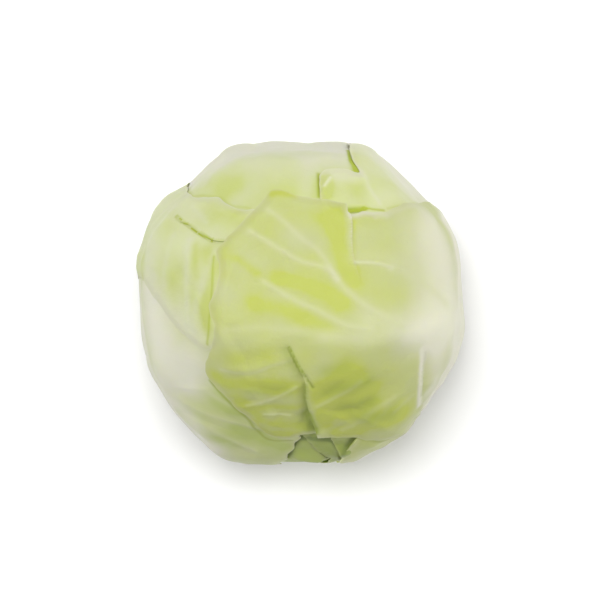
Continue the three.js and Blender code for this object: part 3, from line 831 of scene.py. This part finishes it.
top_right_leaf = lay_leaf(
    "wrapper_upper_right",
    middle=flank(56, 95),
    edge=[flank(46, 161), flank(32, 135), flank(30, 100), crown(72, 42), crown(66, 34), crown(50, 31),
          crown(34, 34), crown(22, 41), crown(11, 47), crown(10.4, 57), crown(10.4, 68), crown(14, 71),
          crown(24, 71), crown(30.9, 69.2), crown(27.5, 76.6), crown(25.2, 83), flank(73, 100),
          flank(76, 130), flank(72, 161)],
    rib={"path": [flank(58, 161), flank(58, 125), flank(60, 95), crown(40, 56)], "height": 3.5, "width": 13},
    marks=[("pale", 1.6, 0.5, (32.5, 69.5), (37, 59), (41.5, 52.5)),
           ("fold", 1.6, 0.25, (29, 77.5), (32.5, 69.5), (37, 59), (41.5, 51.5)),
           ("fold", 7, 1.2, (27, 82.5), (37.5, 79.5)),
           ("white", 9, 0.3, (44.5, 75), (55, 62), (60, 54)),
           ("fold", 1.2, 0.8, (16, 66.5), (13, 62.5), (12, 59)),
           ("pale", 1.0, 0.8, (15.5, 65.5), (12.5, 61.5)),
           ("deep", 3.4, 1.3, (14, 65.5), (13.5, 57.5)),
           ("deep", 5, 0.15, (14.5, 60.5), (23.5, 55)),
           ("deep", 5, 0.35, (28.5, 62), (32.5, 54)),
           ("deep", 3, 0.5, (12.5, 65.5), (12.5, 57.5)),
           ("pale", 3, 0.3, (18, 66.5), (27, 65.5)),
           # painted shade in the dark gap under the outermost leaf's top edge, and along that edge
           ("painted_shade", 1.6, 1.1, (26, 49.5), (33.5, 50)),
           ("painted_shade", 0.7, 0.9, (33.5, 50.5), (37.5, 49.5), (44, 49)),
           ("fold", 1.6, -2.2, (26, 49), (33.5, 49.5)),
           ("white", 8, 0.4, (19, 69), (27, 68.5)),
           ("deep", 2.0, 0.3, (27.5, 79.5), (30, 74)),
           ("painted_shade", 0.8, 0.3, (46, 50), (54.5, 51.5), (62, 52.5))],
    finish=leaf_skin("upper right leaf", blade=(0.529, 0.562, 0.302), deep=(0.454, 0.508, 0.151),
                     pale=(0.572, 0.583, 0.41), white=(0.583, 0.583, 0.443)),
    base_reach=(80, 150),
    seed=6,
    ragged=0.25,
)
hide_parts("top_right_leaf")


# ---------------------------------------------------------------- wrapper leaf at the upper left
# A leaf from the upper left with its veins drawn down the side of the head. A long slit parts its upper
# flap from the rest, and its lower edge lies free on the leaf below.

left_leaf = lay_leaf(
    "wrapper_upper_left",
    middle=flank(152, 90),
    edge=[flank(140, 161), flank(131, 130), flank(133, 98), crown(-60, 60), crown(-58, 57),
          crown(-50, 56), crown(-43, 56.2), crown(-39, 52.4), crown(-35, 50.3), crown(-25, 49.8),
          crown(-19, 42), crown(-22, 30), crown(-30, 20), crown(-34, 2), crown(-36, -12),
          crown(-42, -22.5), crown(-51, -24.6), crown(-56, -22), crown(-62, -17), crown(-73.6, -3.2),
          crown(-80.5, 7), crown(-84, 12), flank(171, 103), flank(170, 130), flank(164, 161)],
    rib={"path": [flank(152, 161), flank(151, 125), flank(150, 95), crown(-52, 18)], "height": 3.5,
         "width": 13},
    marks=[("pale", 2.2, 0.5, (-59, 33), (-60, 21.5), (-60, 1.5), (-58.5, -17)),
           ("fold", 2.4, 0.3, (-59, 35.5), (-60, 21.5), (-60, 1.5), (-58.5, -21.5)),
           ("pale", 2.6, 0.4, (-45, 27), (-49.5, 16.5), (-54.5, 1.5), (-56.5, -17)),
           ("fold", 2.6, 0.35, (-44, 28), (-49.5, 16.5), (-54.5, 1.5), (-56.5, -17)),
           ("fold", 2.8, -0.4, (-47.5, 21.5), (-52, 1.5), (-51, -17)),
           ("pale", 2.2, 0.35, (-67.5, 35.5), (-70.5, 25), (-72.5, 9.5)),
           ("fold", 1.8, 0.2, (-64, 42.5), (-64.5, 21.5)),
           ("fold", 8, 4.0, (-71.5, 55.5), (-75, 52.5)),
           ("fold", 5, 1.4, (-85.5, 23.5), (-86, 19.5)),
           ("pale", 4, 0.3, (-79, 35.5), (-80, 20), (-76.5, 4)),
           ("white", 7, 0.5, (-80, 12), (-74, 0.5), (-63.5, -11), (-55, -19.5)),
           ("white", 7, 0.3, (-75, 46), (-76, 30.5)),
           ("deep", 4, 0.5, (-48.5, 12), (-49.5, -11.5)),
           ("deep", 5, 0.6, (-49.5, 28), (-46, 18.5)),
           ("deep", 4, 0.5, (-52, 1.5), (-49.5, -17)),
           ("deep", 4, 0.3, (-67.5, 12), (-67, -4.5)),
           ("deep", 2.6, 0.5, (-55.5, 30.5), (-55, 14.5)),
           ("deep", 6, 0.3, (-42.5, 45.5), (-33, 42.5)),
           ("deep", 4, 0.1, (-74, 48), (-74, 33)),
           ("white", 8, 0.25, (-71, 51.5), (-58, 46)),
           ("pale", 2, 0.4, (-57, 51), (-50, 42.5)),
           # painted shade along the slit and under the outermost leaf's edge
           ("painted_shade", 0.7, 1.2, (-65.5, 46), (-59.5, 41), (-53.5, 36.5), (-47, 33)),
           ("painted_shade", 0.7, 0.5, (-47, 33), (-39, 32.5)),
           ("painted_shade", 0.7, 0.7, (-45.5, 24.5), (-47, 7), (-48.5, -11.5), (-49.5, -22))],
    finish=leaf_skin("upper left leaf", blade=(0.525, 0.565, 0.32), deep=(0.443, 0.497, 0.14),
                     pale=(0.54, 0.562, 0.389), white=(0.562, 0.562, 0.432)),
    tears=[dict(path=[crown(-67.1, 47.6), crown(-64, 43.5), crown(-61, 42), crown(-58.5, 41.2),
                      crown(-53, 37.3), crown(-47.5, 34), crown(-39.3, 32.8), crown(-30, 33),
                      crown(-18, 32)],
                over=1, overlap=0.5, lift=0.4, reach=8, step=0.45, lip=0.5)],
    base_reach=(60, 110),
    seed=7,
    wave=0.25,
    blade=0.8,
)
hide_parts("left_leaf")


# ---------------------------------------------------------------- outermost leaf
# The big outermost leaf, torn in three places. Its white rib starts at the right and makes the shoulder of
# the head, between the middle and right flaps above it and the two lower flaps.

torn_wrapper_leaf = lay_leaf(
    "wrapper_outermost",
    middle=flank(-8, 55),
    edge=[flank(-28, 161), flank(-42, 140), flank(-45, 112), flank(-43, 96), crown(61.8, -62.6),
          flank(-50, 97), crown(42, -73.3), crown(28.6, -71.2), crown(15.8, -70.6), crown(4, -70),
          crown(-8.3, -71.8), crown(-14.5, -71.2), crown(-18.2, -69.4), crown(-28.2, -60.6),
          crown(-39, -50.8), crown(-45.2, -44.5), crown(-49.2, -38.6), crown(-50, -33.2),
          crown(-47.3, -20.9), crown(-46.3, -11.8), crown(-47.3, -3.2), crown(-45.7, 7),
          crown(-43.6, 20.3), crown(-44.7, 27.3), crown(-39.3, 33.2), crown(-32.9, 41.2),
          crown(-24.9, 49.8), crown(-17.4, 57.2), crown(-13.6, 60.5),
          crown(-2.9, 57.8), crown(10.4, 54.6), crown(20, 53.5), crown(25, 52.8), crown(25.6, 48),
          crown(29.7, 47.6), crown(33.6, 48.8), crown(38.5, 48.4), crown(45, 48.8), crown(54.3, 51.8),
          crown(64, 53.5), crown(69.5, 53.2), flank(37, 94), flank(40, 115),
          flank(32, 145), flank(14, 161)],
    rib={"path": [flank(-8, 161), flank(-8, 125), flank(-8, 100), crown(73, -11.5), crown(53, -18.3),
                  crown(40, -20), crown(19.5, -20), crown(0, -19), crown(-11, -17), crown(-22, -16.6)],
         "height": 3.8, "width": 16},
    marks=[
        # the whitish base and shoulder
        ("white", 12, 0.9, (91.5, -17), (76, -14.5), (63, -16)),
        ("white", 12, 0.6, (69.5, 42.5), (77, 25), (79.5, 7)),
        ("white", 10, 0.8, (78.5, 41), (85, 22.5), (87, 1.5), (85.5, -24.5), (81, -40.5)),
        ("white", 5, 0.25, (55, -17.5), (31.5, -18.5), (13, -18)),
        ("white", 6, 0.25, (37.5, -8), (49.5, -10.5)),
        ("white", 15, 0.5, (65, 29), (69, 19.5), (69, 7)),
        ("white", 6, 0.6, (71, -22), (69, -45.5)),
        ("white", 1.6, 1.0, (64.5, -24.5), (63.5, -36.5), (62.5, -47), (62, -53.5)),
        ("white", 5, -0.05, (56.5, -26), (57, -43), (54.5, -57.5)),
        # painted shade beside the tear between the lower right flap and the base
        ("painted_shade", 0.8, 0.25, (65.5, -26), (64.5, -37.5), (63.5, -48)),
        # veins of the middle flap
        ("pale", 2.4, 0.6, (52.5, -11.5), (39, -4.5), (28.5, 3), (21, 10.5), (13, 18.5), (-0.5, 22.5),
         (-13.5, 30), (-26.5, 37.5)),
        ("fold", 2.0, 0.3, (52.5, -11.5), (39, -4.5), (28.5, 3), (21, 10.5), (13, 18.5), (-0.5, 22.5),
         (-13.5, 30), (-26.5, 37.5)),
        ("pale", 2.0, 0.5, (19.5, 13), (9, 28), (-0.5, 35), (-8, 42.5), (-17, 49)),
        ("pale", 2.4, 0.55, (37.5, -14), (23.5, -11.5), (10, -4.5), (-0.5, 0.5), (-11, 6), (-19, 11)),
        ("fold", 2.0, 0.25, (37.5, -14), (23.5, -11.5), (10, -4.5), (-0.5, 0.5), (-11, 6), (-22.5, 13)),
        ("pale", 3.0, 0.3, (15.5, -16.5), (-0.5, -15), (-21.5, -13), (-39.5, -14)),
        # green between the veins
        ("deep", 2.5, 0.9, (-15, 58), (-4, 58)),
        ("deep", 5.4, 1.2, (17.5, 43), (19.5, 33), (23, 21.5), (27, 12)),
        # this narrow stroke just right of the tear is painted shade beside the upper lip
        ("deep", 1.2, 0.5, (28, 45), (28, 25), (30, 17.5)),
        ("deep", 6.0, 1.2, (-11, 13), (5.5, 9), (21.5, 0)),
        ("deep", 3.4, 0.75, (-32, 22.5), (-23.5, 16)),
        ("deep", 4.0, 0.5, (-39.5, 28), (-38, 25)),
        ("deep", 5.5, 0.8, (-23.5, -0.5), (-11, -3), (5, -10), (13, -14)),
        ("deep", 6.0, 0.1, (-20, 42.5), (-0.5, 46)),
        ("deep", 5.0, 0.7, (-34, -49), (-21.5, -62)),
        # right flap
        ("pale", 1.1, 0.7, (29, 21.5), (39, 21), (48, 18.5)),
        ("fold", 1.2, 0.4, (27.5, 21.5), (40.5, 21), (52.5, 18)),
        ("pale", 2.6, 0.4, (48, 18.5), (63, 11.5), (76.5, 0)),
        ("fold", 2.2, 0.3, (52.5, 18), (63, 12), (76, 0.5)),
        ("fold", 7, 1.0, (68, 52), (71.5, 49)),
        ("white", 2.2, 0.6, (27, 47), (34.5, 48), (44, 47.5)),
        ("pale", 4.0, 0.35, (27.5, 23.5), (44.5, 23.5), (63, 16.5)),
        ("deep", 7.0, 0.15, (44.5, 4), (60, 0)),
        ("pale", 1.5, 0.6, (39.5, 45), (49.5, 48.5), (60, 51)),
        # lower left flap
        ("deep", 8.0, 0.4, (-34.5, -30), (-20, -28)),
        ("deep", 6.0, 0.2, (-46.5, -36.5), (-43, -42)),
        ("pale", 6.0, 0.2, (-45.5, -22), (-40, -35)),
        ("deep", 7.0, 0.9, (-29, -42.5), (-5.5, -44)),
        ("deep", 4.0, 0.4, (-44, -38), (-38, -44.5)),
        ("deep", 4.0, 0.8, (-20, -55), (-0.5, -55)),
        ("deep", 4.0, 0.8, (-15, -64), (4, -65)),
        ("deep", 4.0, 0.8, (-26.5, -63.5), (-16, -68.5), (-2.5, -68.5)),
        ("deep", 4.0, 0.7, (9.5, -51), (13.5, -63.5)),
        ("pale", 1.6, 0.45, (-27.5, -53.5), (-15, -50.5), (-2.5, -44.5)),
        ("fold", 2.8, 0.45, (-30, -54.5), (-15, -51), (-1.5, -44.5)),
        ("fold", 3.2, -0.42, (-28.5, -43.5), (-13.5, -46), (-4.5, -43)),
        ("pale", 0.9, 0.6, (-19, -58.5), (-5.5, -59)),
        ("fold", 2, 0.35, (-19, -59), (-5.5, -59.5)),
        ("pale", 1.6, 0.4, (-41.5, -35), (-26.5, -37), (-15, -33), (-4.5, -30)),
        ("fold", 3, 0.35, (-41.5, -34), (-26.5, -35.5), (-15, -32), (-4.5, -29)),
        # painted shade along the slits between the two lower flaps
        ("painted_shade", 0.8, 1.2, (-6, -23.5), (-4, -27.5), (-1.5, -32.5), (1.5, -37)),
        ("painted_shade", 3.0, 0.45, (-7.5, -24.5), (-4.5, -31), (-0.5, -37.5)),
        ("painted_shade", 2.8, 0.3, (1, -43.5), (2, -52), (4.5, -59.5), (7.5, -66.5)),
        ("painted_shade", 0.7, 0.9, (2, -38), (4.5, -41.5), (6.5, -44.5)),
        ("fold", 1.2, -0.6, (2.5, -38.5), (4.5, -41.5), (6.5, -44.5)),
        ("painted_shade", 1.4, 0.5, (2.5, -43), (2.5, -52), (5, -60.5), (8.5, -67.5)),
        ("painted_shade", 4.6, 0.8, (2.5, -59), (5.5, -65.5)),
        ("fold", 3.5, -0.6, (-0.5, -41.5), (0.5, -52), (3.5, -62.5)),
        # lower right flap
        ("deep", 7.5, 1.3, (13, -44), (22, -38.5), (28, -39)),
        ("deep", 6.0, 1.3, (19.5, -51), (36.5, -45.5)),
        ("deep", 6.0, 1.3, (13.5, -58.5), (26, -57), (37.5, -55.5)),
        ("deep", 6.0, 1.3, (21, -68), (39, -64.5), (51, -59.5)),
        # painted shade in the hollows between the folds of the lower flaps
        ("painted_shade", 5.0, 0.35, (13.5, -35.5), (23.5, -34.5)),
        ("painted_shade", 5.0, 0.5, (15.5, -47), (23.5, -44.5), (34.5, -41.5)),
        ("painted_shade", 5.0, 0.55, (23.5, -55), (36.5, -52)),
        ("painted_shade", 5.0, 0.5, (33.5, -60.5), (48, -58.5)),
        ("painted_shade", 4.0, 0.3, (-25.5, -47), (-8, -45.5)),
        ("pale", 1.6, 0.4, (9, -54), (22, -47.5), (31.5, -41.5)),
        ("fold", 3, 0.45, (7, -55.5), (22, -48), (31.5, -42.5), (44.5, -35)),
        ("fold", 3.5, -0.42, (11.5, -50), (23.5, -41.5), (32.5, -38)),
        ("deep", 7.0, 0.2, (46, -33), (53.5, -39.5), (51, -51)),
        ("pale", 2.0, 0.35, (22, -66.5), (36.5, -58), (49.5, -49.5)),
        ("fold", 3.2, 0.42, (22, -67.5), (36.5, -58.5), (49.5, -50), (57, -40)),
        ("fold", 3.5, -0.42, (26, -57), (37.5, -51), (48.5, -43.5)),
        ("pale", 1.6, 0.3, (49.5, -57), (59, -48.5)),
        ("fold", 2.2, 0.35, (49.5, -57), (59, -48.5)),
    ],
    finish=leaf_skin("outermost leaf", blade=(0.43, 0.458, 0.22), deep=(0.413, 0.458, 0.088),
                     pale=(0.492, 0.51, 0.295), white=(0.605, 0.6, 0.47), painted_shade_colour=(0.26, 0.31, 0.06)),
    tears=[
        # between the middle and the right flap
        dict(path=[crown(32.4, 10.3), crown(31, 14), crown(28.6, 21.9), crown(27, 31), crown(27, 40),
                   crown(26, 50), crown(25.8, 62)],
             over=1, overlap=0.3, lift=0.3, reach=8, step=0.1, lip=0.8),
        # between the two lower flaps
        dict(path=[crown(-7.2, -23), crown(-1.9, -32.6), crown(2.6, -41), crown(3.2, -50), crown(5.4, -58),
                   crown(8.8, -67.5), crown(11, -80)],
             over=1, overlap=0.7, lift=1.6, reach=14),
        # between the lower right flap and the base
        dict(path=[crown(66, -24), crown(64.5, -35.8), crown(63.4, -46.5), crown(62.4, -60),
                   flank(-44.5, 96), flank(-45, 112), flank(-46, 125)],
             over=-1, overlap=0.6, lift=1.6, reach=12),
    ],
    base_reach=(104, 138),
    seed=8,
)
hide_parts("torn_wrapper_leaf")


# ---------------------------------------------------------------- studio
# A plain white table under a broad soft lamp overhead, with a weaker lamp at each side and even light from
# all round. The camera hangs straight above the head.

FLOOR_SIZE = 6.0
FLOOR_WHITE = (0.93, 0.93, 0.93, 1)
ROOM_LIGHT = 0.352
LAMPS = (  # name, place, width and power
    ("overhead", (-0.2, 0.42, 2.3), 1.0, 38.5),
    ("left", (-1.9, 0.5, 1.3), 1.4, 14),
    ("right", (1.9, 0.3, 1.3), 1.4, 22),
)
LIT_PLACE = (0, 0, 0.07)  # the lamps point here
CAMERA_PLACE = (-0.0003, 0.0016, 3.07)
PICTURE_WIDTH = 0.322  # width of the picture at the middle of the head, in metres
SENSOR = 36.0

table = bmesh.new()
bmesh.ops.create_grid(table, x_segments=2, y_segments=2, size=FLOOR_SIZE / 2)
mesh = bpy.data.meshes.new("table")
table.to_mesh(mesh)
table.free()
floor = bpy.data.objects.new("table", mesh)
bpy.context.scene.collection.objects.link(floor)
paper = bpy.data.materials.new("white table")
paper.use_nodes = True
set_inputs(paper.node_tree.nodes["Principled BSDF"], Base_Color=FLOOR_WHITE, Roughness=0.9)
mesh.materials.append(paper)

world = bpy.data.worlds.new("studio")
world.use_nodes = True
set_inputs(world.node_tree.nodes["Background"], Color=(1, 1, 1, 1), Strength=ROOM_LIGHT)
bpy.context.scene.world = world

for name, place, width, power in LAMPS:
    light = bpy.data.lights.new(name, "AREA")
    light.shape = "DISK"
    light.size = width
    light.energy = power
    lamp = bpy.data.objects.new(name, light)
    lamp.location = place
    lamp.rotation_euler = Vector(np.subtract(LIT_PLACE, place)).to_track_quat("-Z", "Y").to_euler()
    bpy.context.scene.collection.objects.link(lamp)

camera_data = bpy.data.cameras.new("camera")
camera_data.sensor_width = SENSOR
camera_data.lens = SENSOR * (CAMERA_PLACE[2] - MIDDLE[2] * MM) / PICTURE_WIDTH
camera_data.clip_end = 20
camera = bpy.data.objects.new("camera", camera_data)
camera.location = CAMERA_PLACE
bpy.context.scene.collection.objects.link(camera)
bpy.context.scene.camera = camera
bpy.context.scene.view_settings.view_transform = "Standard"
